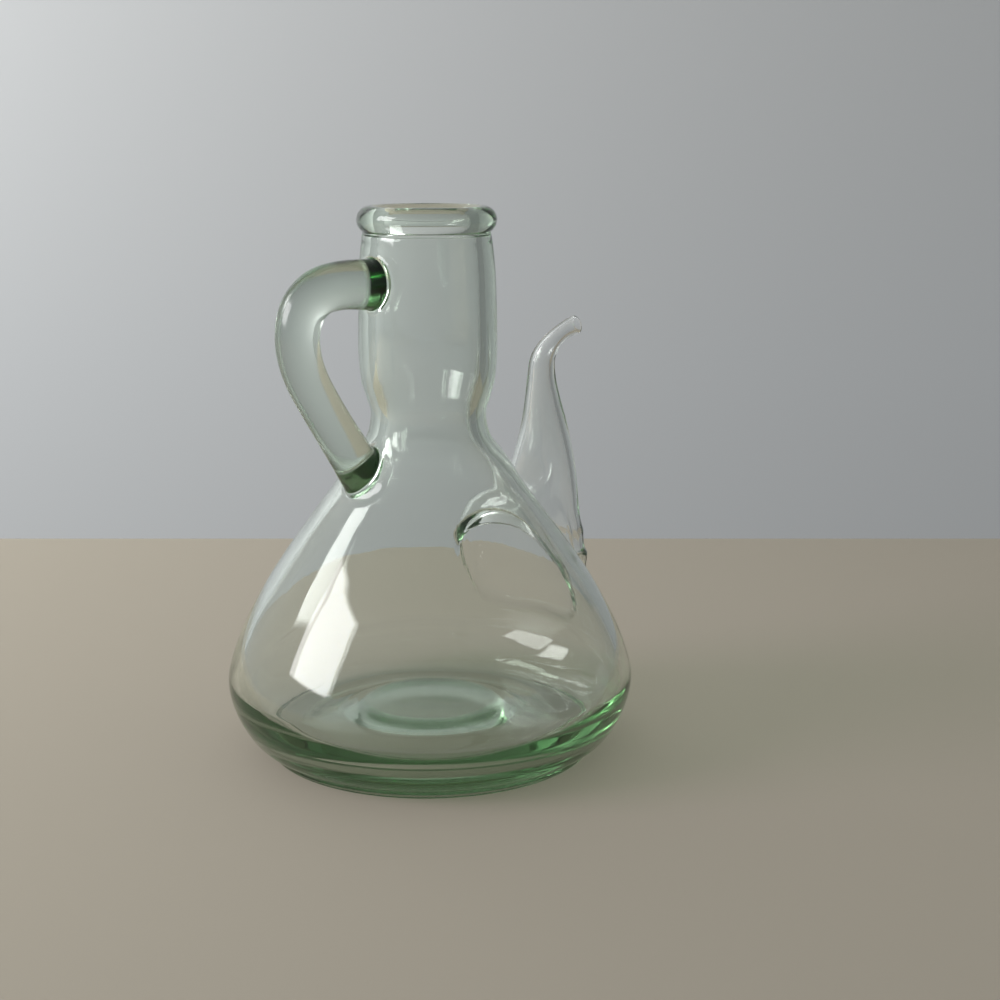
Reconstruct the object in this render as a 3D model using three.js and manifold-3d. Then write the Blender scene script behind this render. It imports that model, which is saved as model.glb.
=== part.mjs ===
// Glass cruet for oil or vinegar, hand-blown, all of it fused into one piece: a conical body on a
// thick base, a straight neck with a rolled rim, a solid loop handle and a hollow curved spout.
// Millimetres, +Z up. The origin is on the body's axis, at the surface that the base stands on.
// The handle lies along -X. The spout's tip lies along +X, and its root is turned a little to +Y.
import * as THREE from 'three';
import { mergeVertices } from 'three/addons/utils/BufferGeometryUtils.js';
import Module from 'manifold-3d';

const wasm = await Module();
wasm.setup();

// Driving dimensions
const HEIGHT = 176;
const BELLY_RADIUS = 66.4;
const WAIST_RADIUS = 18.6;
const NECK_RADIUS = 22.1;
const FOOT_RADIUS = 54;
const FOOT_RING_INSIDE = 43; // inner edge of the flat ring that the cruet stands on
const UNDERSIDE_RISE = 4.6; // how far the underside domes up inside that ring
const BODY_WALL = 3.6;
const NECK_WALL = 5.2;
const WALL_CHANGE = { from: 80, to: 112 }; // heights between which the one becomes the other
const FLOOR_HEIGHT = 8.6; // inside of the base, round its raised middle
const PUNT_HEIGHT = 14.2;
const PUNT_RADIUS = 22.7;
const INSIDE_BOTTOM = 23; // above this height the inside of the wall follows its outside
const INSIDE_TOP = 165;
const RIM_CENTRE = { r: 18, z: 171.7 };
const RIM_HALF_WIDTH = NECK_RADIUS - RIM_CENTRE.r;
const RIM_HALF_HEIGHT = HEIGHT - RIM_CENTRE.z;

// Number of facets
const AROUND_BODY = 48;
const ALONG_WALL = 30;
const ROUND_RIM = 10;
const AROUND_HANDLE = 16;
const ALONG_HANDLE = 22;
const AROUND_SPOUT = 18;
const ALONG_SPOUT = 24;

// Outside of the wall from the heel up to the crease below the rim, as [radius, height]
const WALL_KNOTS = [
  [55.1, 3.0], [59.2, 5.6], [63.2, 11.6], [65.8, 18.5], [BELLY_RADIUS, 24.5], [64.6, 32],
  [60.5, 42], [54.1, 54], [46.2, 66], [37.6, 78], [30.3, 88], [26.8, 93.8],
  [23.4, 98.6], [20.2, 102.8], [18.8, 107], [WAIST_RADIUS, 111.5], [19.9, 116], [21.4, 121.5],
  [NECK_RADIUS, 129], [22.05, 142], [21.6, 156], [20.4, 166.9],
];

// Underside and foot, from the axis outward, as [radius, height]
const FOOT_OUTLINE = [
  [0, UNDERSIDE_RISE], [14, UNDERSIDE_RISE * 0.92], [25, UNDERSIDE_RISE * 0.68], [34, UNDERSIDE_RISE * 0.34],
  [FOOT_RING_INSIDE - 3, 0.5], [FOOT_RING_INSIDE, 0],
  [FOOT_RADIUS - 1.1, 0], [FOOT_RADIUS - 0.2, 0.9], [FOOT_RADIUS, 2.1],
];

// Inside of the base, from the wall inward over the raised middle, as [radius, height]
const FLOOR_OUTLINE = [
  [60.9, 18.5], [57.4, 13.6], [53, 10.5], [48.5, 9], [45, FLOOR_HEIGHT], [38, 9.2], [31, 10.6],
  [PUNT_RADIUS + 5, 11.6], [PUNT_RADIUS + 2, 12.9], [PUNT_RADIUS, PUNT_HEIGHT - 0.5],
  [PUNT_RADIUS - 4, PUNT_HEIGHT], [0, PUNT_HEIGHT],
];

// Solid handle: the line down the middle of the rod as [x, z, radius], from the neck to the shoulder
const HANDLE_STATIONS = [
  [-14, 152.6, 8.2], [-22, 152.7, 7.9], [-34, 152.9, 7.4], [-41.3, 151.2, 7.2], [-46.5, 146.8, 7.0],
  [-48.9, 139.5, 6.8], [-48.3, 132, 6.7], [-45.8, 125, 6.6], [-41, 116.5, 6.5], [-35.5, 107.8, 6.6],
  [-30, 99.5, 6.9], [-25, 92.2, 7.5], [-19, 84.5, 8.0],
];

// Hollow spout from the tip down to its broad root in the body's side, as [distance from the axis,
// turn from +X in degrees, z, half width across, half depth, wall, squareness]. A squareness of 2 is an
// oval section, and a higher one is fuller at its corners.
const SPOUT_STATIONS = [
  [64.0, 0.9, 133.9, 3.2, 3.2, 1.2, 2], [59.2, 1.5, 132.1, 2.95, 2.95, 1.3, 2],
  [54.8, 2.1, 129.1, 3.15, 3.15, 1.3, 2], [51.8, 2.7, 125.4, 3.85, 3.85, 1.5, 2],
  [50.9, 3.3, 122.4, 4.3, 4.3, 1.7, 2], [50.9, 3.7, 116.1, 4.95, 4.95, 2.0, 2],
  [52.0, 4.3, 108.0, 6.3, 6.3, 2.2, 2], [53.4, 5.0, 99.5, 8.2, 8.0, 2.4, 2],
  [54.6, 6.3, 90.3, 10.5, 9.8, 2.2, 2], [55.3, 8.1, 79.0, 14.0, 10.7, 1.9, 2.2],
  [54.0, 11.1, 69.5, 20.3, 12.7, 1.7, 2.6], [53.1, 14.0, 61.0, 24.3, 12.7, 1.7, 2.8],
  [52.3, 15.2, 51.0, 24.6, 13.0, 1.7, 2.8], [52.3, 14.9, 41.0, 24.7, 12.8, 1.7, 2.8],
  [50.9, 15.0, 31.5, 22.6, 12.6, 1.7, 2.8],
];

// Points of a smooth curve through knots given as [radius, height]
function smoothWall(knots, steps) {
  const curve = new THREE.CatmullRomCurve3(knots.map(([r, z]) => new THREE.Vector3(r, z, 0)));
  return Array.from({ length: steps + 1 }, (_, i) => {
    const point = curve.getPointAt(i / steps);
    const tangent = curve.getTangentAt(i / steps);
    return { r: point.x, z: point.y, inward: new THREE.Vector2(-tangent.y, tangent.x) };
  });
}

// Thickness of the wall at a height: thinner in the body than in the neck
function wallThickness(z) {
  const share = THREE.MathUtils.smoothstep(z, WALL_CHANGE.from, WALL_CHANGE.to);
  return THREE.MathUtils.lerp(BODY_WALL, NECK_WALL, share);
}

// The wall's points between two heights, moved inward by a share of its thickness
function insetWall(wall, share, low, high) {
  return wall
    .filter(({ z }) => z > low && z < high)
    .map(({ r, z, inward }) => {
      const inset = inward.clone().multiplyScalar(share * wallThickness(z));
      return new THREE.Vector2(r + inset.x, z + inset.y);
    });
}

// Rolled rim, from the crease outside, over the top and down to the inside of the neck
function rimArc() {
  const from = THREE.MathUtils.degToRad(-60);
  const to = THREE.MathUtils.degToRad(240);
  return Array.from({ length: ROUND_RIM + 1 }, (_, i) => {
    const angle = THREE.MathUtils.lerp(from, to, i / ROUND_RIM);
    return new THREE.Vector2(
      RIM_CENTRE.r + RIM_HALF_WIDTH * Math.cos(angle),
      RIM_CENTRE.z + RIM_HALF_HEIGHT * Math.sin(angle),
    );
  });
}

// Turns a closed outline of [radius, height] points round the vertical axis
function revolve(outline) {
  return new THREE.LatheGeometry(outline, AROUND_BODY).rotateX(Math.PI / 2);
}

// Body, neck and rim as one hollow glass wall
function vesselGeometry(wall) {
  const toPoint = ([r, z]) => new THREE.Vector2(r, z);
  return revolve([
    ...FOOT_OUTLINE.map(toPoint),
    ...wall.map(({ r, z }) => new THREE.Vector2(r, z)),
    ...rimArc(),
    ...insetWall(wall, 1, INSIDE_BOTTOM, INSIDE_TOP).reverse(),
    ...FLOOR_OUTLINE.map(toPoint),
  ]);
}

// Solid plug bounded by the middle of the wall, which trims the roots of the handle and the spout
function trimGeometry(wall) {
  const middle = insetWall(wall, 0.5, INSIDE_BOTTOM - 2, INSIDE_TOP);
  const bottom = new THREE.Vector2(0, middle[0].y);
  const top = new THREE.Vector2(0, middle[middle.length - 1].y);
  return revolve([bottom, ...middle, top]);
}

// A sine or cosine bent so that an oval becomes fuller at its corners
function fuller(value, squareness) {
  return Math.sign(value) * Math.abs(value) ** (2 / squareness);
}

// Closed tube along a curve, each section turned to face away from the body's axis; sectionAt(u)
// gives its half width across, its half depth and its squareness
function sweptTube(curve, sectionAt, sides, steps) {
  const tube = new THREE.CylinderGeometry(1, 1, 1, sides, steps);
  const points = Array.from({ length: steps + 1 }, (_, i) => curve.getPointAt(i / steps));
  const tangents = Array.from({ length: steps + 1 }, (_, i) => curve.getTangentAt(i / steps));
  const position = tube.attributes.position;
  for (let v = 0; v < position.count; v += 1) {
    const station = Math.round((0.5 - position.getY(v)) * steps);
    const { width, depth, squareness = 2 } = sectionAt(station / steps);
    const { x, y } = points[station];
    const across = new THREE.Vector3(-y, x, 0);
    const outward = new THREE.Vector3().crossVectors(tangents[station], across).normalize();
    across.crossVectors(outward, tangents[station]);
    const place = points[station].clone()
      .addScaledVector(across, width * fuller(position.getX(v), squareness))
      .addScaledVector(outward, depth * fuller(position.getZ(v), squareness));
    position.setXYZ(v, place.x, place.y, place.z);
  }
  return tube;
}

// Smooth curve through the first three numbers of each row, and the later numbers by column
function stationCurve(rows) {
  const curve = new THREE.CatmullRomCurve3(rows.map(([x, y, z]) => new THREE.Vector3(x, y, z)));
  const column = (index) => (u) => {
    const t = curve.getUtoTmapping(u) * (rows.length - 1);
    const before = Math.min(Math.floor(t), rows.length - 2);
    return THREE.MathUtils.lerp(rows[before][index], rows[before + 1][index], t - before);
  };
  return { curve, column };
}

function handleGeometry() {
  const rows = HANDLE_STATIONS.map(([x, z, radius]) => [x, 0, z, radius]);
  const { curve, column } = stationCurve(rows);
  const radiusAt = column(3);
  const round = (u) => ({ width: radiusAt(u), depth: radiusAt(u) });
  return sweptTube(curve, round, AROUND_HANDLE, ALONG_HANDLE);
}

// The spout's stations with their first two numbers turned into x and y
function spoutRows() {
  return SPOUT_STATIONS.map(([distance, turn, ...rest]) => {
    const angle = THREE.MathUtils.degToRad(turn);
    return [distance * Math.cos(angle), distance * Math.sin(angle), ...rest];
  });
}

function spoutGeometry() {
  const { curve, column } = stationCurve(spoutRows());
  const [widthAt, depthAt, squarenessAt] = [column(3), column(4), column(6)];
  const full = (u) => ({ width: widthAt(u), depth: depthAt(u), squareness: squarenessAt(u) });
  return sweptTube(curve, full, AROUND_SPOUT, ALONG_SPOUT);
}

// The spout's channel, which runs past the tip at one end and ends in the open body at the other
function channelGeometry() {
  const rows = spoutRows();
  const [tip, next] = rows;
  const pastTip = tip.map((value, i) => (i < 3 ? value + (value - next[i]) * 0.5 : value));
  const { curve, column } = stationCurve([pastTip, ...rows]);
  const [widthAt, depthAt, wallAt, squarenessAt] = [column(3), column(4), column(5), column(6)];
  const hollow = (u) => ({
    width: widthAt(u) - wallAt(u),
    depth: depthAt(u) - wallAt(u),
    squareness: squarenessAt(u),
  });
  return sweptTube(curve, hollow, AROUND_SPOUT, ALONG_SPOUT);
}

// A closed geometry as a solid that can be joined and cut
function toSolid(geometry) {
  geometry.deleteAttribute('normal');
  geometry.deleteAttribute('uv');
  const merged = mergeVertices(geometry, 1e-4);
  return new wasm.Manifold(new wasm.Mesh({
    numProp: 3,
    vertProperties: new Float32Array(merged.attributes.position.array),
    triVerts: new Uint32Array(merged.index.array),
  }));
}

// A solid as a geometry again
function toGeometry(solid) {
  const mesh = solid.getMesh();
  const geometry = new THREE.BufferGeometry();
  geometry.setAttribute('position', new THREE.BufferAttribute(mesh.vertProperties, 3));
  geometry.setIndex(new THREE.BufferAttribute(mesh.triVerts, 1));
  geometry.computeVertexNormals();
  return geometry;
}

const wall = smoothWall(WALL_KNOTS, ALONG_WALL);
const handleAndSpout = toSolid(handleGeometry()).add(toSolid(spoutGeometry()));
const roots = handleAndSpout.subtract(toSolid(trimGeometry(wall)));
const glassSolid = toSolid(vesselGeometry(wall)).add(roots).subtract(toSolid(channelGeometry()));

const glass = new THREE.MeshStandardMaterial({
  color: 0xa9bfb2,
  roughness: 0.04,
  metalness: 0,
  transparent: true,
  opacity: 0.4,
});
const cruet = new THREE.Mesh(toGeometry(glassSolid), glass);
cruet.name = 'cruet';

const group = new THREE.Group();
group.add(cruet);

export default group;
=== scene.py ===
import math

import bmesh
import bpy
import numpy as np
from bpy.props import FloatProperty, FloatVectorProperty, IntProperty, PointerProperty
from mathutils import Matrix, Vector
from mathutils.geometry import delaunay_2d_cdt


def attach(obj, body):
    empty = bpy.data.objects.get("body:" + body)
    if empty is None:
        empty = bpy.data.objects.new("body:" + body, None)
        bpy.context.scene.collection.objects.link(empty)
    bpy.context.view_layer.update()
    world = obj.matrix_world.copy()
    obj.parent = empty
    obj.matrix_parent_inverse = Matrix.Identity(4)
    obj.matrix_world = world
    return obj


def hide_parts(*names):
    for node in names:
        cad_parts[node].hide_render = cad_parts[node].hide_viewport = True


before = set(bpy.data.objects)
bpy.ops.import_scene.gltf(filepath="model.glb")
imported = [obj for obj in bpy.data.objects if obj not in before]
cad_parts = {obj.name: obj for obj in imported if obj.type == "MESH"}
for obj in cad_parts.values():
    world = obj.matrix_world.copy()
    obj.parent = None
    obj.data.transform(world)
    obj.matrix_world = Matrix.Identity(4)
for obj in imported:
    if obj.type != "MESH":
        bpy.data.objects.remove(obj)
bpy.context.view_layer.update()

bl_info = {
    "name": "Glass Cruet",
    "version": (1, 0, 0),
    "blender": (4, 5, 0),
    "location": "View3D > Sidebar > Cruet",
    "description": "Hand-blown glass cruet with a loop handle and a drawn spout",
    "category": "Object",
}

MM = 0.001

# Outside of the wall from the heel up to the crease below the rim, as (radius, height) in mm
WALL_KNOTS = [
    (55.1, 3.0), (59.2, 5.6), (63.2, 11.6), (65.8, 18.5), (66.4, 24.5), (64.6, 32.0), (60.5, 42.0),
    (54.1, 54.0), (46.2, 66.0), (37.6, 78.0), (30.3, 88.0), (26.8, 93.8), (23.4, 98.6), (20.2, 102.8),
    (18.8, 107.0), (18.6, 111.5), (19.9, 116.0), (21.4, 121.5), (22.1, 129.0), (22.05, 142.0),
    (21.6, 156.0), (20.4, 166.9),
]
# Underside from the axis outward, and the edge of the foot
FOOT_KNOTS = [(0, 4.6), (14, 4.25), (25, 3.15), (34, 1.55), (40, 0.5), (43, 0.0)]
FOOT_EDGE = [
    (43, 0), (46, 0), (49, 0), (51.5, 0), (52.9, 0), (53.5, 0.25), (53.85, 0.9), (53.95, 1.6), (54.3, 2.3),
]
# Inside of the base, from the wall inward over the raised middle
FLOOR_KNOTS = [
    (60.9, 18.5), (57.4, 13.6), (53, 10.5), (48.5, 9.0), (45, 8.6), (38, 9.2), (31.5, 10.4), (29, 10.8),
    (27.6, 11.4), (26.2, 11.75), (24.6, 12.1), (23.4, 13.0), (22, 13.85), (19.5, 14.15), (12, 14.2),
    (0, 14.2),
]
# Middle line of the solid handle, as (x, z, radius), from inside the neck's wall to inside the shoulder's
HANDLE_KNOTS = [
    (-14, 152.6, 8.2), (-22, 152.7, 7.9), (-34, 152.9, 7.4), (-41.3, 151.2, 7.2), (-46.5, 146.8, 7.0),
    (-48.9, 139.5, 6.8), (-48.3, 132, 6.7), (-45.8, 125, 6.6), (-41, 116.5, 6.5), (-35.5, 107.8, 6.6),
    (-30, 99.5, 6.9), (-25, 92.2, 7.5), (-19, 84.5, 8.0),
]
# Drawn spout from its tip to its root, as (distance from the axis, turn in degrees, z, half width
# across, half depth, wall, squareness), where a squareness of 2 is an oval section
SPOUT_KNOTS = [
    (64.0, 0.9, 133.9, 3.2, 3.2, 1.2, 2), (59.2, 1.5, 132.1, 2.95, 2.95, 1.3, 2),
    (54.8, 2.1, 129.1, 3.15, 3.15, 1.3, 2), (51.8, 2.7, 125.4, 3.85, 3.85, 1.5, 2),
    (50.9, 3.3, 122.4, 4.3, 4.3, 1.7, 2), (50.9, 3.7, 116.1, 4.95, 4.95, 2.0, 2),
    (52.0, 4.3, 108.0, 6.3, 6.3, 2.2, 2), (53.4, 5.0, 99.5, 8.2, 8.0, 2.4, 2),
    (54.6, 6.3, 90.3, 10.5, 9.8, 2.2, 2), (55.3, 8.1, 79.0, 14.0, 10.7, 1.9, 2.2),
    (54.0, 11.1, 69.5, 20.3, 12.7, 1.7, 2.6), (53.1, 14.0, 61.0, 24.3, 12.7, 1.7, 2.8),
    (52.3, 15.2, 51.0, 24.6, 13.0, 1.7, 2.8), (52.3, 14.9, 41.0, 24.7, 12.8, 1.7, 2.8),
    (50.9, 15.0, 31.5, 22.6, 12.6, 1.7, 2.8), (41.0, 14, 21.5, 12.0, 11.0, 1.7, 2.4),
]
BODY_WALL = 3.6
NECK_WALL = 5.2
WALL_CHANGE = (80, 112)  # heights between which the wall goes from the one to the other
INNER_WALL = (23, 165)  # heights between which the inside follows the outside
INNER_HEEL = 12.4  # height in the base down to which the spout's root may reach
RIM_CENTRE = (18.0, 171.7)
RIM_HALF = (4.1, 4.3)
RIM_TURN = (-58, 238)  # degrees of the bead, from the crease outside over the top to the mouth
BLEND_HANDLE = (2.4, 2.6)  # reach of the melted-in glass round each joint, neck end first
CROTCH_BLEND = 3.2  # how much further it reaches where the handle's foot leans towards the neck
BLEND_SPOUT = 2.2
BLEND_CHANNEL = 2.0

# Fineness
CURVE_STEPS = 3001  # points that a smooth line is first worked out at
CURVE_POINTS = 2001  # points that it is kept as, evenly spaced
WALL_POINTS = 1200
RIM_POINTS = 30
FOOT_POINTS = 14
FLOOR_POINTS = 46
HANDLE_ROUND = 56
SPOUT_ROUND = 96
TUBE_ROWS = 100
HANDLE_JOINT_ROWS = 10
SPOUT_JOINT_ROWS = 12
LIP_STEPS = 8
JOINT_STEPS = 400  # places along a tube at which its joint is looked for
PROBE = 0.05  # mm to each side, for how fast a distance grows
MELT_EDGE = 0.98  # share of a joint's reach at which its melted zone ends
HOLE_MARGIN = 1.1  # mm of wall between a hole's loop and the nearest whole cell

# Skin of the glass, as roughness
POLISHED = 0.012
HANDLE_SATIN = 0.15
DISC_DULL = 0.25

# Stage, in metres and degrees
CAMERA_PLACE = (-0.3250, -0.4313, 0.2010)
CAMERA_TILT = 77.52
CAMERA_TURN = -39.44
CAMERA_LENS = 61.2
FLOOR_FRONT = -1.2
FLOOR_BACK = 0.28  # its far edge is the picture's horizon
FLOOR_SIDE = 1.6
BACKDROP_AWAY = 0.9
BACKDROP_SIDES = (-0.8, 0.75)
BACKDROP_HEIGHTS = (-0.8, 1.6)
LIGHT_TURNS = 96


def linear(hex_colour):
    """An sRGB hex colour as the linear values that Blender's sockets take."""
    parts = [int(hex_colour[i:i + 2], 16) / 255 for i in (1, 3, 5)]
    return tuple(c / 12.92 if c <= 0.04045 else ((c + 0.055) / 1.055) ** 2.4 for c in parts)


def add(tree, kind, settings=None, **inputs):
    """Adds a node to a tree, with its settings, and its inputs as values or as links."""
    node = tree.nodes.new(kind)
    for key, value in (settings or {}).items():
        setattr(node, key, value)
    for key, value in inputs.items():
        number = key[0] == "i" and key[1:].isdigit()
        socket = node.inputs[int(key[1:]) if number else key.replace("_", " ")]
        if isinstance(value, bpy.types.NodeSocket):
            tree.links.new(value, socket)
        else:
            socket.default_value = value
    return node


# Curves through knots

class Line:
    """A smooth curve through rows of numbers, read at a share of its length from 0 to 1."""

    def __init__(self, rows, lead=3):
        rows = np.asarray(rows, float)
        gaps = np.sqrt(np.linalg.norm(np.diff(rows[:, :lead], axis=0), axis=1))
        knots = np.concatenate([[0], np.cumsum(gaps)])
        slopes = np.gradient(rows, knots, axis=0, edge_order=2)
        t = np.linspace(0, knots[-1], CURVE_STEPS)
        k = np.clip(np.searchsorted(knots, t, side="right") - 1, 0, len(rows) - 2)
        h = (knots[k + 1] - knots[k])[:, None]
        s = (t[:, None] - knots[k][:, None]) / h
        dense = ((2 * s**3 - 3 * s**2 + 1) * rows[k] + (s**3 - 2 * s**2 + s) * h * slopes[k]
                 + (3 * s**2 - 2 * s**3) * rows[k + 1] + (s**3 - s**2) * h * slopes[k + 1])
        run = np.concatenate([[0], np.cumsum(np.linalg.norm(np.diff(dense[:, :lead], axis=0), axis=1))])
        self.length = run[-1]
        self.grid = np.linspace(0, 1, CURVE_POINTS)
        self.rows = np.stack([np.interp(self.grid, run / run[-1], c) for c in dense.T], axis=1)
        self.slope = np.gradient(self.rows, self.grid, axis=0)

    def at(self, u):
        """The rows at shares of the length."""
        return np.stack([np.interp(u, self.grid, c) for c in self.rows.T], axis=-1)

    def direction(self, u):
        """The unit direction in space at shares of the length."""
        d = np.stack([np.interp(u, self.grid, c) for c in self.slope.T[:3]], axis=-1)
        return d / np.linalg.norm(d, axis=-1, keepdims=True)


class Tube:
    """A tube round a smooth line in space; each row is x, y, z, half width, half depth, squareness."""

    def __init__(self, rows):
        self.line = Line(rows)

    def section(self, u):
        """Centre, directions across and outward, half sizes, squareness and direction along."""
        row = self.line.at(u)
        along = self.line.direction(u)
        side = np.stack([-row[..., 1], row[..., 0], np.zeros_like(row[..., 0])], axis=-1)
        out = np.cross(along, side)
        out /= np.linalg.norm(out, axis=-1, keepdims=True)
        across = np.cross(out, along)
        return row[..., :3], across, out, row[..., 3], row[..., 4], row[..., 5], along

    def point(self, u, turn):
        """The skin's points at shares of the length and turns round the section."""
        centre, across, out, width, depth, square, _ = self.section(u)
        sine, cosine = np.sin(turn), np.cos(turn)
        reach = (np.abs(sine) ** square + np.abs(cosine) ** square) ** (-1 / square)
        return centre + across * (width * reach * sine)[..., None] + out * (depth * reach * cosine)[..., None]

    def distance(self, p, u):
        """Signed distance of points from the tube, and each point's share of the way along it."""
        for _ in range(6):
            centre, across, out, width, depth, square, along = self.section(u)
            step = np.sum((p - centre) * along, axis=-1) / self.line.length
            u = np.clip(u + np.clip(step, -0.05, 0.05), 0, 1)
        centre, across, out, width, depth, square, along = self.section(u)
        a = np.abs(np.sum((p - centre) * across, axis=-1)) / width + 1e-9
        b = np.abs(np.sum((p - centre) * out, axis=-1)) / depth + 1e-9
        share = (a**square + b**square) ** (1 / square)
        slope = share ** (1 - square) * np.hypot(a ** (square - 1) / width, b ** (square - 1) / depth)
        return (share - 1) / slope, u


class Wall:
    """One side of the glass wall as a surface of revolution; rows are radius, height."""

    def __init__(self, rows):
        rows = np.asarray(rows, float)
        order = np.argsort(rows[:, 1])
        self.z = rows[order, 1]
        self.r = rows[order, 0]
        self.slope = np.gradient(self.r, self.z)
        self.run = np.concatenate([[0], np.cumsum(np.hypot(np.diff(self.r), np.diff(self.z)))])

    def distance(self, p):
        """Signed distance of points from the wall, outward positive."""
        r = np.hypot(p[..., 0], p[..., 1])
        slope = np.interp(p[..., 2], self.z, self.slope)
        return (r - np.interp(p[..., 2], self.z, self.r)) / np.sqrt(1 + slope**2)

    def project(self, p):
        """The nearest points on the wall, by a few steps along its slope."""
        for _ in range(4):
            r = np.hypot(p[..., 0], p[..., 1])
            slope = np.interp(p[..., 2], self.z, self.slope)
            away = self.distance(p) / np.sqrt(1 + slope**2)
            out = np.stack([p[..., 0] / r, p[..., 1] / r, -slope], axis=-1)
            p = p - out * away[..., None]
        return p

    def flat(self, p):
        """Points of the wall on a plane: the way round at their own radius, and the way up."""
        return np.arctan2(p[..., 1], p[..., 0]), np.interp(p[..., 2], self.z, self.run)


def melted(a, b, reach):
    """Smooth union of two distances, as glass flows round a joint."""
    h = np.maximum(reach - np.abs(a - b), 0) / reach
    return np.minimum(a, b) - h**3 * reach / 6


def growth(distance, p):
    """How fast a distance grows along x, y and z at points."""
    return np.stack([(distance(p + e) - distance(p - e)) / (2 * PROBE) for e in np.eye(3) * PROBE], axis=-1)


def settle(p, u, wall, tube, reach):
    """Moves points onto the melted surface of a wall and a tube."""
    def field(q):
        return melted(wall.distance(q), tube.distance(q, u)[0], reach)
    for _ in range(7):
        slope = growth(field, p)
        p = p - slope * (field(p) / np.maximum(np.sum(slope**2, axis=-1), 1e-6))[..., None] * 0.9
    return p


# Geometry Nodes

def sections_tree():
    """Geometry Nodes: a ring of points for each point of a path, joined to a skin."""
    tree = bpy.data.node_groups.new("rings along a path", "GeometryNodeTree")
    face = tree.interface
    face.new_socket("Geometry", in_out="INPUT", socket_type="NodeSocketGeometry")
    face.new_socket("Points round", in_out="INPUT", socket_type="NodeSocketInt")
    face.new_socket("Weld distance", in_out="INPUT", socket_type="NodeSocketFloat")
    face.new_socket("Finish", in_out="INPUT", socket_type="NodeSocketMaterial")
    face.new_socket("Geometry", in_out="OUTPUT", socket_type="NodeSocketGeometry")
    source = add(tree, "NodeGroupInput").outputs
    path = source["Geometry"]
    count = add(tree, "GeometryNodeAttributeDomainSize", i0=path).outputs["Point Count"]
    columns = add(tree, "ShaderNodeMath", {"operation": "ADD"}, i0=source["Points round"], i1=1.0).outputs[0]
    grid = add(tree, "GeometryNodeMeshGrid", Vertices_X=columns, Vertices_Y=count).outputs["Mesh"]
    index = add(tree, "GeometryNodeInputIndex").outputs[0]
    row = add(tree, "ShaderNodeMath", {"operation": "FLOORED_MODULO"}, i0=index, i1=count).outputs[0]
    rest = add(tree, "ShaderNodeMath", {"operation": "SUBTRACT"}, i0=index, i1=row).outputs[0]
    column = add(tree, "ShaderNodeMath", {"operation": "DIVIDE"}, i0=rest, i1=count).outputs[0]
    around = source["Points round"]
    turn = add(tree, "ShaderNodeMath", {"operation": "DIVIDE"}, i0=column, i1=around).outputs[0]
    angle = add(tree, "ShaderNodeMath", {"operation": "MULTIPLY"}, i0=turn, i1=math.tau).outputs[0]
    sine = add(tree, "ShaderNodeMath", {"operation": "SINE"}, i0=angle).outputs[0]
    cosine = add(tree, "ShaderNodeMath", {"operation": "COSINE"}, i0=angle).outputs[0]

    def read(name):
        """A value of the path's point that this ring is for."""
        if name == "position":
            value = add(tree, "GeometryNodeInputPosition").outputs[0]
        else:
            value = add(tree, "GeometryNodeInputNamedAttribute", {"data_type": "FLOAT_VECTOR"},
                        Name=name).outputs[0]
        return add(tree, "GeometryNodeSampleIndex", {"data_type": "FLOAT_VECTOR"},
                   Geometry=path, Value=value, Index=row).outputs[0]

    side = add(tree, "ShaderNodeVectorMath", {"operation": "SCALE"}, i0=read("across"), Scale=sine).outputs[0]
    out = add(tree, "ShaderNodeVectorMath", {"operation": "SCALE"}, i0=read("outward"),
              Scale=cosine).outputs[0]
    ring = add(tree, "ShaderNodeVectorMath", {"operation": "ADD"}, i0=side, i1=out).outputs[0]
    place = add(tree, "ShaderNodeVectorMath", {"operation": "ADD"}, i0=read("position"), i1=ring).outputs[0]
    skin = add(tree, "GeometryNodeSetPosition", Geometry=grid, Position=place).outputs[0]
    seam = add(tree, "ShaderNodeMath", {"operation": "FLOORED_MODULO"}, i0=column, i1=around).outputs[0]
    for name, value in (("row", row), ("column", seam)):
        skin = add(tree, "GeometryNodeStoreNamedAttribute", {"data_type": "INT", "domain": "POINT"},
                   Geometry=skin, Name=name, Value=value).outputs[0]
    skin = add(tree, "GeometryNodeMergeByDistance", Geometry=skin,
               Distance=source["Weld distance"]).outputs[0]
    skin = add(tree, "GeometryNodeRealizeInstances", Geometry=skin).outputs[0]
    skin = add(tree, "GeometryNodeSetMaterial", Geometry=skin, Material=source["Finish"]).outputs[0]
    add(tree, "NodeGroupOutput", Geometry=skin)
    return tree


def rings(tree, centre, across, outward, around, finish):
    """The skin round a path: its points in mm, and each point's row and column."""
    mesh = bpy.data.meshes.new("path")
    mesh.from_pydata([tuple(c * MM) for c in centre], [(i, i + 1) for i in range(len(centre) - 1)], [])
    for name, values in (("across", across), ("outward", outward)):
        layer = mesh.attributes.new(name, "FLOAT_VECTOR", "POINT")
        layer.data.foreach_set("vector", (values * MM).astype(np.float32).ravel())
    holder = bpy.data.objects.new("path", mesh)
    bpy.context.scene.collection.objects.link(holder)
    modifier = holder.modifiers.new("rings", "NODES")
    modifier.node_group = tree
    named = {item.name: item.identifier for item in tree.interface.items_tree if item.in_out == "INPUT"}
    modifier[named["Points round"]] = around
    modifier[named["Weld distance"]] = 1e-6
    modifier[named["Finish"]] = finish
    bpy.context.view_layer.update()
    made = bpy.data.meshes.new_from_object(holder.evaluated_get(bpy.context.evaluated_depsgraph_get()))
    bpy.data.objects.remove(holder)
    count = len(made.vertices)
    co = np.empty(count * 3)
    made.vertices.foreach_get("co", co)
    row, column = np.empty(count, np.int32), np.empty(count, np.int32)
    made.attributes["row"].data.foreach_get("value", row)
    made.attributes["column"].data.foreach_get("value", column)
    bpy.data.meshes.remove(made)
    return co.reshape(-1, 3) / MM, row, column


# The glass

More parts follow.
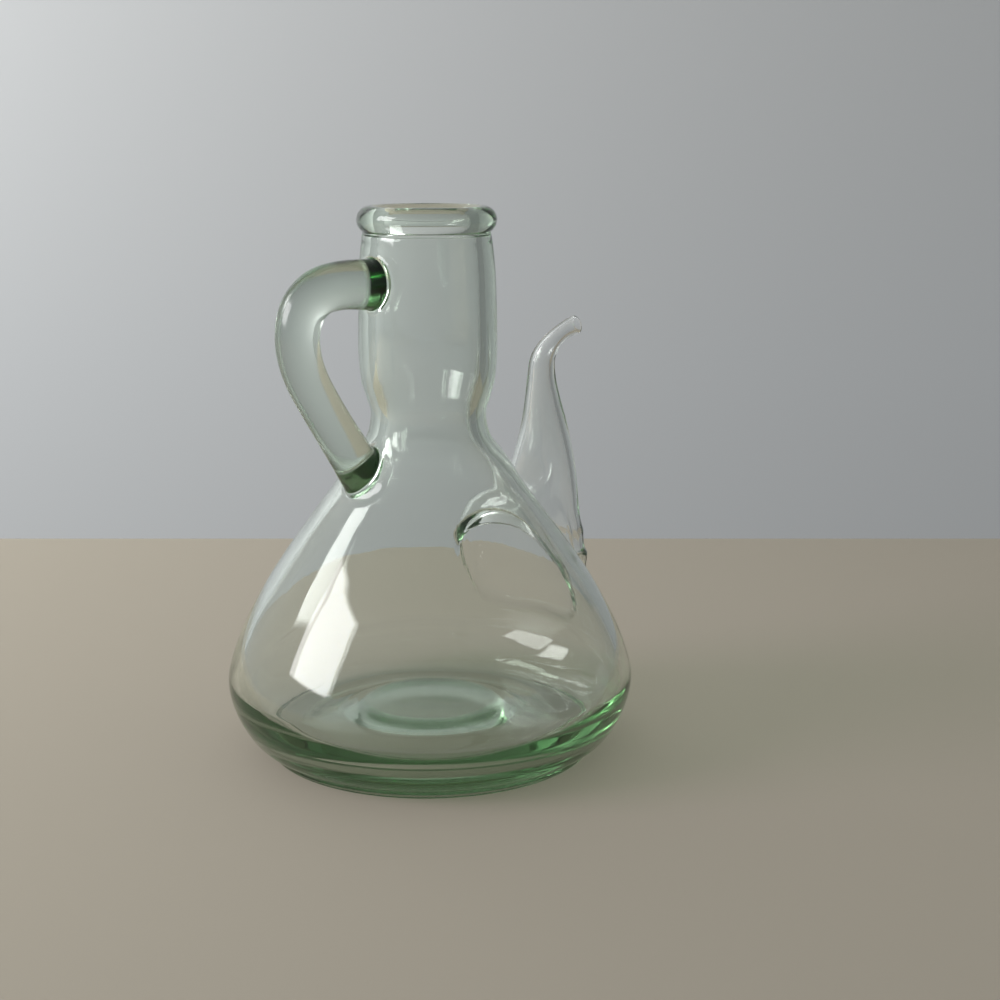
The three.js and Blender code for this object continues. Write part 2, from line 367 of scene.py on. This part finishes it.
def wall_thickness(z):
    """Thickness of the wall at a height."""
    s = np.clip((z - WALL_CHANGE[0]) / (WALL_CHANGE[1] - WALL_CHANGE[0]), 0, 1)
    return BODY_WALL + (NECK_WALL - BODY_WALL) * s * s * (3 - 2 * s)


def vessel_outline(settings):
    """The wall's closed outline, from the axis below to the axis inside, its two sides, and the rows
    at which the outside and the inside begin and end."""
    wall = Line(WALL_KNOTS, lead=2)
    dense = wall.at(np.linspace(0, 1, WALL_POINTS))
    slope = wall.slope[np.round(np.linspace(0, CURVE_POINTS - 1, WALL_POINTS)).astype(int)]
    slope /= np.linalg.norm(slope, axis=1, keepdims=True)
    inner = dense + np.stack([-slope[:, 1], slope[:, 0]], axis=1) * wall_thickness(dense[:, 1])[:, None]
    inner = inner[(dense[:, 1] > INNER_WALL[0]) & (dense[:, 1] < INNER_WALL[1])]
    turn = np.radians(np.linspace(*RIM_TURN, RIM_POINTS))
    rim = np.array(RIM_CENTRE) + np.array(RIM_HALF) * np.stack([np.cos(turn), np.sin(turn)], axis=1)
    foot = np.concatenate([Line(FOOT_KNOTS, lead=2).at(np.linspace(0, 1, FOOT_POINTS))[:-1], FOOT_EDGE])
    outside = wall.at(np.linspace(0, 1, settings.rows_outside))
    inside_rows = np.round(np.linspace(0, len(inner) - 1, settings.rows_inside)).astype(int)
    inside_wall = inner[inside_rows][::-1]
    # the floor's line starts two points up the wall, so that it leaves the wall smoothly
    lead_in = [tuple(inside_wall[-2]), tuple(inside_wall[-1])]
    floor = Line(lead_in + FLOOR_KNOTS, lead=2).at(np.linspace(0, 1, FLOOR_POINTS))[3:]
    floor[-1] = FLOOR_KNOTS[-1]
    heel = floor[floor[:, 1] > INNER_HEEL]
    outline = np.concatenate([foot, outside, rim, inside_wall, floor])
    first_outside = len(foot)
    first_inside = first_outside + len(outside) + len(rim)
    return (outline, Wall(dense), Wall(np.concatenate([inner, heel])),
            (first_outside, first_outside + len(outside)),
            (first_inside, first_inside + len(inside_wall) + len(heel)))


class Skin:
    """A growing mesh of points in mm and faces."""

    def __init__(self):
        self.points = []
        self.faces = []
        self.count = 0

    def add_points(self, p):
        """Adds points and gives their ids."""
        ids = self.count + np.arange(len(p))
        self.points.append(np.asarray(p, float))
        self.count += len(p)
        return ids

    def add_rows(self, ids, turned):
        """Quads between rows of ids [row, column], closed round the columns."""
        after = np.roll(ids, -1, axis=1)
        quads = np.stack([ids[:-1], after[:-1], after[1:], ids[1:]], axis=-1).reshape(-1, 4)
        self.faces.extend((quads[:, ::-1] if turned else quads).tolist())


def crossing(test, low, high, steps=40):
    """Where a test that is true at low turns false on the way to high, for many at once."""
    for _ in range(steps):
        middle = (low + high) / 2
        passed = test(middle)
        low = np.where(passed, middle, low)
        high = np.where(passed, high, middle)
    return (low + high) / 2


def first_below(values, level):
    """The first index along axis 0 at which values are below a level."""
    below = values < level
    return np.where(below.any(axis=0), below.argmax(axis=0), len(values) - 1)


def joint_ring(wall, tube, turn, reach, free_end, root_end):
    """Round a joint: where the tube leaves the melted zone and where it meets the wall, as shares of its
    length, and the loop of points at which the wall leaves the melted zone."""
    u_path = free_end + (root_end - free_end) * np.linspace(0, 1, JOINT_STEPS)
    grid_u, grid_turn = np.meshgrid(u_path, turn, indexing="ij")
    away = wall.distance(tube.point(grid_u, grid_turn))
    level = reach * MELT_EDGE
    found = []
    for limit in (level, 0.0):
        k = np.maximum(first_below(away, limit), 1)
        cols = np.arange(len(turn))
        a0, a1 = away[k - 1, cols], away[k, cols]
        part = np.clip((a0 - limit) / np.maximum(a0 - a1, 1e-9), 0, 1)
        found.append(u_path[k - 1] + (u_path[k] - u_path[k - 1]) * part)
    u_free, u_cross = found

    def from_tube(q):
        return tube.distance(q, u_cross)[0]
    start = wall.project(tube.point(u_cross, turn))
    slope = growth(from_tube, start)
    up = growth(wall.distance, start)
    away_dir = slope - up * np.sum(slope * up, axis=-1, keepdims=True)
    away_dir /= np.linalg.norm(away_dir, axis=-1, keepdims=True)

    def near(t):
        return from_tube(wall.project(start + away_dir * t[:, None])) < level
    none = np.zeros(len(turn))
    out = crossing(near, none, none + reach * 4.0)
    return u_free, u_cross, wall.project(start + away_dir * out[:, None])


def strip(wall, tube, turn, reach, u_free, u_cross, loop, rows):
    """Rows of points over the melted zone, from the tube's side to the wall's."""
    edge = tube.point(u_free, turn)
    share = np.linspace(0, 1, rows + 1)[1:-1][:, None, None]
    chord = edge[None] * (1 - share) + loop[None] * share
    u = np.broadcast_to(u_cross, chord.shape[:2]).copy()
    return settle(chord, u, wall, tube, reach)


def flat_hole(wall, loop, block, theta, height):
    """A joint's loop and the wall's grid laid flat in mm, and the grid's cells that the loop cuts."""
    angle, run = wall.flat(loop)
    middle = math.atan2(np.sin(angle).sum(), np.cos(angle).sum())
    angle = (angle - middle + np.pi) % math.tau - np.pi
    radius = np.hypot(loop[:, 0], loop[:, 1]).mean()
    polygon = np.stack([angle * radius, run], axis=1)
    grid_angle = (theta[block] - middle + np.pi) % math.tau - np.pi
    flat = np.stack([grid_angle * radius, np.broadcast_to(height[:, None], grid_angle.shape)], axis=-1)
    hit = inside(polygon, flat) | (edge_gap(polygon, flat) < HOLE_MARGIN)
    cell = hit[:-1] | hit[1:]
    return polygon, flat, cell | np.roll(cell, -1, axis=1)


def hole_border(cell):
    """The grid points round a patch of cells, in order."""
    edges = {}
    for i, j in zip(*np.nonzero(cell)):
        nxt = (j + 1) % cell.shape[1]
        corners = [(i, j), (i, nxt), (i + 1, nxt), (i + 1, j)]
        for a, b in zip(corners, corners[1:] + corners[:1]):
            if (b, a) in edges:
                del edges[(b, a)]
            else:
                edges[(a, b)] = True
    onward = dict(edges.keys())
    border = [next(iter(onward))]
    while onward[border[-1]] != border[0]:
        border.append(onward[border[-1]])
    if len(border) != len(edges):
        raise RuntimeError("the hole in the wall has more than one edge")
    return border


def fill_ring(skin, outer, polygon, ids, turned):
    """Triangles between a hole's border and the loop inside it; ids are the border's, then the loop's."""
    n, m = len(outer), len(polygon)
    flat = np.concatenate([outer, polygon]).astype(np.float32).astype(float)
    outer, polygon = flat[:n], flat[n:]
    lines = [(i, (i + 1) % n) for i in range(n)] + [(n + i, n + (i + 1) % m) for i in range(m)]
    result = delaunay_2d_cdt([Vector(p) for p in flat], lines, [], 0, 1e-7)
    if len(result[0]) != n + m:
        raise RuntimeError("the joint's edge crosses the hole in the wall")
    back = {k: orig[0] for k, orig in enumerate(result[3])}
    for tri in result[2]:
        own = [back[k] for k in tri]
        centre = flat[own].mean(axis=0)[None, None]
        if inside(outer, centre)[0, 0] and not inside(polygon, centre)[0, 0]:
            a, b, c = flat[own]
            ccw = (b[0] - a[0]) * (c[1] - a[1]) - (b[1] - a[1]) * (c[0] - a[0]) > 0
            face = [ids[k] for k in own]
            skin.faces.append(face if ccw == (not turned) else face[::-1])


def cut_wall(skin, wall, ids, rows_used, points, loops, turned):
    """The wall's quads with a hole for each loop, and triangles from each hole's edge to its loop."""
    theta = np.arctan2(points[:, 1], points[:, 0])
    block = ids[rows_used[0]:rows_used[1]]
    height = np.interp(points[block[:, 0], 2], wall.z, wall.run)
    keep = np.ones((len(block) - 1, ids.shape[1]), bool)
    holes = []
    for loop, loop_ids in loops:
        polygon, flat, cell = flat_hole(wall, loop, block, theta, height)
        keep &= ~cell
        holes.append((polygon, loop_ids, flat, cell))
    after = np.roll(block, -1, axis=1)
    kept = np.stack([block[:-1], after[:-1], after[1:], block[1:]], axis=-1)[keep]
    skin.faces.extend((kept if turned else kept[:, ::-1]).tolist())
    for polygon, loop_ids, flat, cell in holes:
        border = hole_border(cell)
        outer = np.array([flat[i, j] for i, j in border])
        border_ids = [int(block[i, j]) for i, j in border]
        fill_ring(skin, outer, polygon, border_ids + [int(i) for i in loop_ids], turned)


def inside(polygon, p):
    """Whether points [i, j, 2] lie inside a polygon."""
    a, b = polygon, np.roll(polygon, -1, axis=0)
    x, y = p[..., 0, None], p[..., 1, None]
    spans = (a[:, 1] > y) != (b[:, 1] > y)
    rise = np.where(b[:, 1] == a[:, 1], 1e-12, b[:, 1] - a[:, 1])
    return (spans & (x < (b[:, 0] - a[:, 0]) * (y - a[:, 1]) / rise + a[:, 0])).sum(axis=-1) % 2 == 1


def edge_gap(polygon, p):
    """Distance of points [i, j, 2] from a polygon's edge."""
    a, b = polygon, np.roll(polygon, -1, axis=0)
    d = b - a
    t = np.clip(((p[..., None, :] - a) * d).sum(-1) / np.maximum((d * d).sum(-1), 1e-12), 0, 1)
    return np.linalg.norm(p[..., None, :] - (a + t[..., None] * d), axis=-1).min(axis=-1)


def spout_rows(thinner):
    """The spout's knots as x, y, z and section, for its outside or its channel."""
    rows = []
    for distance, turn, z, width, depth, wall, square in SPOUT_KNOTS:
        a = math.radians(turn)
        take = wall if thinner else 0
        rows.append((distance * math.cos(a), distance * math.sin(a), z, width - take, depth - take, square))
    return rows


def tube_rows(skin, tube, turn, u_from, u_to):
    """Rows of points down a tube between two stations of each column."""
    share = np.linspace(0, 1, TUBE_ROWS)[:, None]
    u = u_from[None] * (1 - share) + u_to[None] * share
    p = tube.point(u, np.broadcast_to(turn, u.shape))
    return skin.add_points(p.reshape(-1, 3)).reshape(p.shape[:2])


def melt_in(skin, wall, tube, turn, reach, ring, above, rows, turned):
    """Skins the melted zone of a joint, on from the rows above it; gives the loop that it ends in."""
    u_free, u_cross, loop = ring
    p = strip(wall, tube, turn, reach, u_free, u_cross, loop, rows)
    between = skin.add_points(p.reshape(-1, 3)).reshape(p.shape[:2])
    last = skin.add_points(loop)
    skin.add_rows(np.concatenate([above, between, last[None]]), turned)
    return loop, last


def turned_wall(settings, outline, finish):
    """The turned wall's points in mm, and their ids by row and column of the outline's turning."""
    n = len(outline)
    centre = np.stack([np.zeros(n), np.zeros(n), outline[:, 1]], axis=1)
    flat = np.stack([outline[:, 0], np.zeros(n), np.zeros(n)], axis=1)
    around = settings.points_round
    co, row, column = rings(sections_tree(), centre, flat[:, [1, 0, 2]], flat, around, finish)
    ids = np.full((n, around), -1)
    ids[row, column % around] = np.arange(len(co))
    for r in (0, n - 1):
        ids[r] = ids[r].max()
    if (ids < 0).any():
        raise RuntimeError("the turned wall has lost points")
    return co, ids


def skin_handle(skin, wall):
    """Skins the handle, with a joint at each end, and gives the joints' loops."""
    handle = Tube([(x, 0, z, r, r, 2) for x, z, r in HANDLE_KNOTS])
    turn = np.linspace(0, math.tau, HANDLE_ROUND, endpoint=False)
    towards_neck = np.maximum(-np.cos(turn), 0) ** 2
    reaches = (BLEND_HANDLE[0] + 0 * turn, BLEND_HANDLE[1] + CROTCH_BLEND * towards_neck)
    joints = [joint_ring(wall, handle, turn, reach, 0.5, end) for reach, end in zip(reaches, (0.0, 1.0))]
    body = tube_rows(skin, handle, turn, joints[0][0], joints[1][0])
    skin.add_rows(body, True)
    return [melt_in(skin, wall, handle, turn, reach, joint, edge, HANDLE_JOINT_ROWS, turned)
            for joint, edge, reach, turned in zip(joints, (body[:1], body[-1:]), reaches, (False, True))]


def skin_spout(skin, outer_wall, inner_wall):
    """Skins the spout and its channel, with a rounded lip at the tip, and gives both joints' loops."""
    turn = np.linspace(0, math.tau, SPOUT_ROUND, endpoint=False)
    spout, channel = Tube(spout_rows(False)), Tube(spout_rows(True))
    tips, loops = [], []
    for tube, wall, reach, turned in ((spout, outer_wall, BLEND_SPOUT, True),
                                      (channel, inner_wall, BLEND_CHANNEL, False)):
        ring = joint_ring(wall, tube, turn, reach, 0.0, 1.0)
        body = tube_rows(skin, tube, turn, np.zeros(len(turn)), ring[0])
        loops.append(melt_in(skin, wall, tube, turn, reach, ring, body, SPOUT_JOINT_ROWS, turned))
        tips.append(body[0])
    points = np.concatenate(skin.points)
    lip_out, lip_in = points[tips[0]], points[tips[1]]
    tip_dir = -spout.line.direction(np.array([0.0]))[0]
    half = np.linalg.norm(lip_out - lip_in, axis=1).mean() / 2
    middle, arm = (lip_out + lip_in) / 2, (lip_out - lip_in) / 2
    bend = np.linspace(0, math.pi, LIP_STEPS)[1:-1]
    lip = [skin.add_points(middle + arm * math.cos(a) + tip_dir * half * math.sin(a)) for a in bend]
    skin.add_rows(np.stack([tips[0], *lip, tips[1]]), False)
    return loops


def fused_glass(settings, finish):
    """The whole cruet as one closed skin: wall, handle, spout and channel melted together."""
    outline, outer_wall, inner_wall, outside, inside_rows = vessel_outline(settings)
    co, ids = turned_wall(settings, outline, finish)
    skin = Skin()
    skin.add_points(co)
    loops_out = skin_handle(skin, outer_wall)
    spout_loop, channel_loop = skin_spout(skin, outer_wall, inner_wall)
    points = np.concatenate(skin.points)
    cut_wall(skin, outer_wall, ids, outside, points, loops_out + [spout_loop], True)
    cut_wall(skin, inner_wall, ids, inside_rows, points, [channel_loop], True)
    whole = ((0, outside[0] + 1), (outside[1] - 1, inside_rows[0] + 1), (inside_rows[1] - 1, len(ids)))
    for low, high in whole:
        block = ids[low:high]
        after = np.roll(block, -1, axis=1)
        for quad in np.stack([block[:-1], after[:-1], after[1:], block[1:]], axis=-1).reshape(-1, 4).tolist():
            skin.faces.append(list(dict.fromkeys(quad)))
    mesh = bpy.data.meshes.new("cruet_glass")
    mesh.from_pydata((points * MM).tolist(), [], skin.faces)
    shape = bmesh.new()
    shape.from_mesh(mesh)
    # the wall's points inside the holes belong to no face
    bmesh.ops.delete(shape, geom=[v for v in shape.verts if not v.link_faces], context="VERTS")
    bmesh.ops.recalc_face_normals(shape, faces=shape.faces)
    if any(len(e.link_faces) != 2 for e in shape.edges):
        raise RuntimeError("the glass skin isn't closed")
    shape.to_mesh(mesh)
    shape.free()
    return mesh


def glass_material(settings):
    """Clear soda-lime glass from remelted bottles, mouth-blown: pale grey-green where it is thin,
    deep green where light runs a long way through it, with the slight waves of hand work."""
    material = bpy.data.materials.new("clear recycled soda-lime glass")
    material.use_nodes = True
    tree = material.node_tree
    tree.nodes.clear()
    place = add(tree, "ShaderNodeTexCoord").outputs["Object"]
    # slow waves of about 30 mm from the blowing
    waves = add(tree, "ShaderNodeTexNoise", Vector=place, Scale=34.0, Detail=1.5, Roughness=0.45).outputs[0]
    # drawn streaks of about 3 mm, which run up the wall from the base to the neck
    axes = add(tree, "ShaderNodeSeparateXYZ", i0=place).outputs
    level = add(tree, "ShaderNodeCombineXYZ", X=axes[0], Y=axes[1]).outputs[0]
    outward = add(tree, "ShaderNodeVectorMath", {"operation": "NORMALIZE"}, i0=level).outputs[0]
    round_wall = add(tree, "ShaderNodeVectorMath", {"operation": "SCALE"}, i0=outward, Scale=18.0).outputs[0]
    up_wall = add(tree, "ShaderNodeVectorMath", {"operation": "MULTIPLY"}, i0=place, i1=(0, 0, 22)).outputs[0]
    along = add(tree, "ShaderNodeVectorMath", {"operation": "ADD"}, i0=round_wall, i1=up_wall).outputs[0]
    streaks = add(tree, "ShaderNodeTexNoise", Vector=along, Scale=1.0, Detail=2.5, Roughness=0.6).outputs[0]
    height = add(tree, "ShaderNodeMath", {"operation": "MULTIPLY_ADD"}, i0=streaks, i1=0.03,
                 i2=waves).outputs[0]
    bump = add(tree, "ShaderNodeBump", Strength=settings.wave_strength, Distance=0.0012, Height=height)
    # the handle is drawn cooler than the body is blown, and keeps a faint satin skin outside cone and neck
    lean = add(tree, "ShaderNodeVectorMath", {"operation": "DOT_PRODUCT"}, i0=place,
               i1=(-1, 0, 0.7)).outputs["Value"]
    off_cone = add(tree, "ShaderNodeMapRange", Value=lean, From_Min=0.0935, From_Max=0.0955).outputs[0]
    off_neck = add(tree, "ShaderNodeMapRange", Value=axes[0], From_Min=-0.0225, From_Max=-0.0245).outputs[0]
    drawn = add(tree, "ShaderNodeMath", {"operation": "MULTIPLY"}, i0=off_cone, i1=off_neck).outputs[0]
    satin = add(tree, "ShaderNodeMath", {"operation": "MULTIPLY_ADD"}, i0=drawn, i1=HANDLE_SATIN,
                i2=POLISHED).outputs[0]
    # the raised middle of the floor is pressed, and its skin is dull
    radius = add(tree, "ShaderNodeVectorMath", {"operation": "LENGTH"}, i0=level).outputs["Value"]
    within = add(tree, "ShaderNodeMapRange", Value=radius, From_Min=0.0234, From_Max=0.0222).outputs[0]
    on_top = add(tree, "ShaderNodeMath", {"operation": "COMPARE"}, i0=axes[2], i1=0.0138, i2=0.001).outputs[0]
    pressed = add(tree, "ShaderNodeMath", {"operation": "MULTIPLY"}, i0=within, i1=on_top).outputs[0]
    rough = add(tree, "ShaderNodeMath", {"operation": "MULTIPLY_ADD"}, i0=pressed, i1=DISC_DULL,
                i2=satin).outputs[0]
    surface = add(tree, "ShaderNodeBsdfPrincipled", Roughness=rough, IOR=1.52, Normal=bump.outputs[0],
                  Transmission_Weight=1.0)
    surface.inputs["Base Color"].default_value = (1, 1, 1, 1)
    clear = add(tree, "ShaderNodeBsdfTransparent")
    clear.inputs["Color"].default_value = (*linear("#F2F7F2"), 1)
    ray = add(tree, "ShaderNodeLightPath").outputs["Is Shadow Ray"]
    mix = add(tree, "ShaderNodeMixShader", i0=ray, i1=surface.outputs[0], i2=clear.outputs[0])
    tint = add(tree, "ShaderNodeVolumeAbsorption")
    tint.inputs["Color"].default_value = (*settings.tint, 1)
    tint.inputs["Density"].default_value = settings.tint_density
    add(tree, "ShaderNodeOutputMaterial", Surface=mix.outputs[0], Volume=tint.outputs[0])
    return material


def matt_material(name, colour, roughness):
    """Matt paint or plain cloth for the stage."""
    material = bpy.data.materials.new(name)
    material.use_nodes = True
    surface = material.node_tree.nodes["Principled BSDF"]
    surface.inputs["Base Color"].default_value = (*linear(colour), 1)
    surface.inputs["Roughness"].default_value = roughness
    surface.inputs["Specular IOR Level"].default_value = 0.2
    return material


def flat_piece(name, corners, material):
    """A flat stage piece through four corners in metres."""
    mesh = bpy.data.meshes.new(name)
    mesh.from_pydata(corners, [], [(0, 1, 2, 3)])
    mesh.materials.append(material)
    piece = bpy.data.objects.new(name, mesh)
    bpy.context.scene.collection.objects.link(piece)
    return piece


def softbox(name, place, aim, size, watts, fade):
    """A soft rectangular lamp in metres, which fades out over a share of its width at each edge."""
    data = bpy.data.lights.new(name, "AREA")
    data.shape = "RECTANGLE"
    data.size, data.size_y = size
    data.energy = watts
    data.use_nodes = True
    tree = data.node_tree
    place_on = add(tree, "ShaderNodeNewGeometry").outputs["Parametric"]
    axes = add(tree, "ShaderNodeSeparateXYZ", i0=place_on).outputs
    share = []
    for axis in (axes[0], axes[1]):
        edge = add(tree, "ShaderNodeMath", {"operation": "PINGPONG"}, i0=axis, i1=0.5).outputs[0]
        share.append(add(tree, "ShaderNodeMapRange", {"interpolation_type": "SMOOTHSTEP"}, Value=edge,
                         From_Max=fade).outputs[0])
    strength = add(tree, "ShaderNodeMath", {"operation": "MULTIPLY"}, i0=share[0], i1=share[1]).outputs[0]
    tree.links.new(strength, tree.nodes["Emission"].inputs["Strength"])
    lamp = bpy.data.objects.new(name, data)
    lamp.location = place
    lamp.rotation_euler = (Vector(aim) - Vector(place)).to_track_quat("-Z", "Y").to_euler()
    bpy.context.scene.collection.objects.link(lamp)
    return lamp
def room_light(side):
    """Soft light from all round, bright on the window's side and dim on the other."""
    world = bpy.data.worlds.new("soft room light")
    world.use_nodes = True
    tree = world.node_tree
    ray = add(tree, "ShaderNodeTexCoord").outputs["Generated"]
    right = add(tree, "ShaderNodeVectorMath", {"operation": "DOT_PRODUCT"}, i0=ray, i1=side).outputs["Value"]
    share = add(tree, "ShaderNodeMapRange", Value=right, From_Min=1.0, From_Max=-1.0).outputs[0]
    steep = add(tree, "ShaderNodeMath", {"operation": "POWER"}, i0=share, i1=2.5).outputs[0]
    strength = add(tree, "ShaderNodeMapRange", Value=steep, To_Min=0.3, To_Max=0.75).outputs[0]
    background = tree.nodes["Background"]
    background.inputs["Color"].default_value = (*linear("#D9DCDD"), 1)
    tree.links.new(strength, background.inputs["Strength"])
    return world


def photo_camera():
    """The camera that sees the cruet as the photo does."""
    data = bpy.data.cameras.new("camera")
    data.lens = CAMERA_LENS
    data.sensor_width = 36
    camera = bpy.data.objects.new("camera", data)
    camera.location = CAMERA_PLACE
    camera.rotation_euler = (math.radians(CAMERA_TILT), 0, math.radians(CAMERA_TURN))
    bpy.context.scene.collection.objects.link(camera)
    return camera
class CruetSettings(bpy.types.PropertyGroup):
    """Sizes and colours of the cruet."""

    points_round: IntProperty(
        name="Points Round", description="Points round the turned wall", default=184, min=48)
    rows_outside: IntProperty(
        name="Rows Outside", description="Rings up the outside of the wall", default=118, min=40)
    rows_inside: IntProperty(
        name="Rows Inside", description="Rings down the inside of the wall", default=100, min=40)
    tint: FloatVectorProperty(
        name="Glass Tint", description="Colour that light keeps on its way through the glass",
        subtype="COLOR", size=3, min=0, max=1, default=linear("#7CC17A"))
    tint_density: FloatProperty(
        name="Tint Density", description="How fast the tint deepens with thickness, per metre",
        default=20.0, min=0)
    wave_strength: FloatProperty(
        name="Waves", description="Strength of the slow waves left by blowing",
        default=0.25, min=0, max=1, subtype="FACTOR")


class CRUET_OT_glass(bpy.types.Operator):
    """Makes the cruet of one piece of glass: body, neck, rim, handle and spout"""

    bl_idname = "cruet.glass"
    bl_label = "Blow Glass"

    def execute(self, context):
        settings = context.scene.cruet
        finish = glass_material(settings)
        mesh = fused_glass(settings, finish)
        mesh.materials.append(finish)
        for polygon in mesh.polygons:
            polygon.use_smooth = True
        piece = bpy.data.objects.new("cruet_glass", mesh)
        context.scene.collection.objects.link(piece)
        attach(piece, "root")
        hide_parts("cruet")
        return {"FINISHED"}


class CRUET_OT_stage(bpy.types.Operator):
    """Sets up the floor, backdrop, lamps and camera"""

    bl_idname = "cruet.stage"
    bl_label = "Set Stage"

    def execute(self, context):
        scene = context.scene
        view = math.radians(-CAMERA_TURN)
        ahead = Vector((math.sin(view), math.cos(view), 0))
        side = Vector((math.cos(view), -math.sin(view), 0))

        def corner(along, across, height=0.0):
            """A place by its way along and across the camera's view."""
            return tuple(ahead * along + side * across + Vector((0, 0, height)))
        flat_piece("floor", [corner(FLOOR_FRONT, -FLOOR_SIDE), corner(FLOOR_FRONT, FLOOR_SIDE),
                             corner(FLOOR_BACK, FLOOR_SIDE), corner(FLOOR_BACK, -FLOOR_SIDE)],
                   matt_material("pale greige cloth", "#B3AB9C", 0.9))
        (left, right), (low, high) = BACKDROP_SIDES, BACKDROP_HEIGHTS
        flat_piece("backdrop", [corner(BACKDROP_AWAY, across, height) for across, height in
                                ((left, low), (right, low), (right, high), (left, high))],
                   matt_material("pale grey wall paint", "#C6C8C9", 0.8))
        softbox("window", corner(-0.35, -1.1, 0.62), aim=(0, 0, 0.09), size=(0.7, 0.6), watts=10, fade=0.05)
        wash = softbox("wall light", corner(0.25, -1.15, 0.75), aim=corner(BACKDROP_AWAY, -0.5, 0.3),
                       size=(0.6, 0.6), watts=22, fade=0.25)
        # it stands for light from all over the room, so the glass neither mirrors it nor shades it
        wash.visible_glossy = False
        wash.data.use_shadow = False
        scene.world = room_light(side)
        scene.camera = photo_camera()
        scene.view_settings.view_transform = "Standard"
        # light turns many times inside the thick base and the handle before it gets out
        scene.cycles.max_bounces = LIGHT_TURNS
        scene.cycles.glossy_bounces = LIGHT_TURNS
        scene.cycles.transmission_bounces = LIGHT_TURNS
        scene.cycles.transparent_max_bounces = 24
        # lamps already reach the floor through the glass by its shadow rays
        scene.cycles.caustics_reflective = False
        scene.cycles.caustics_refractive = False
        return {"FINISHED"}


class CRUET_PT_panel(bpy.types.Panel):
    """The cruet's sizes, colours and steps"""

    bl_label = "Glass Cruet"
    bl_idname = "CRUET_PT_panel"
    bl_space_type = "VIEW_3D"
    bl_region_type = "UI"
    bl_category = "Cruet"

    def draw(self, context):
        settings = context.scene.cruet
        for name in ("points_round", "rows_outside", "rows_inside", "tint", "tint_density", "wave_strength"):
            self.layout.prop(settings, name)
        for step in STEPS:
            self.layout.operator(step)


CLASSES = (CruetSettings, CRUET_OT_glass, CRUET_OT_stage, CRUET_PT_panel)
STEPS = ("cruet.glass", "cruet.stage")


def register():
    for cls in CLASSES:
        bpy.utils.register_class(cls)
    bpy.types.Scene.cruet = PointerProperty(type=CruetSettings)


def unregister():
    del bpy.types.Scene.cruet
    for cls in reversed(CLASSES):
        bpy.utils.unregister_class(cls)


def main():
    """Registers the add-on and runs every step."""
    register()
    bpy.ops.cruet.glass()
    bpy.ops.cruet.stage()


if __name__ == "__main__":
    main()
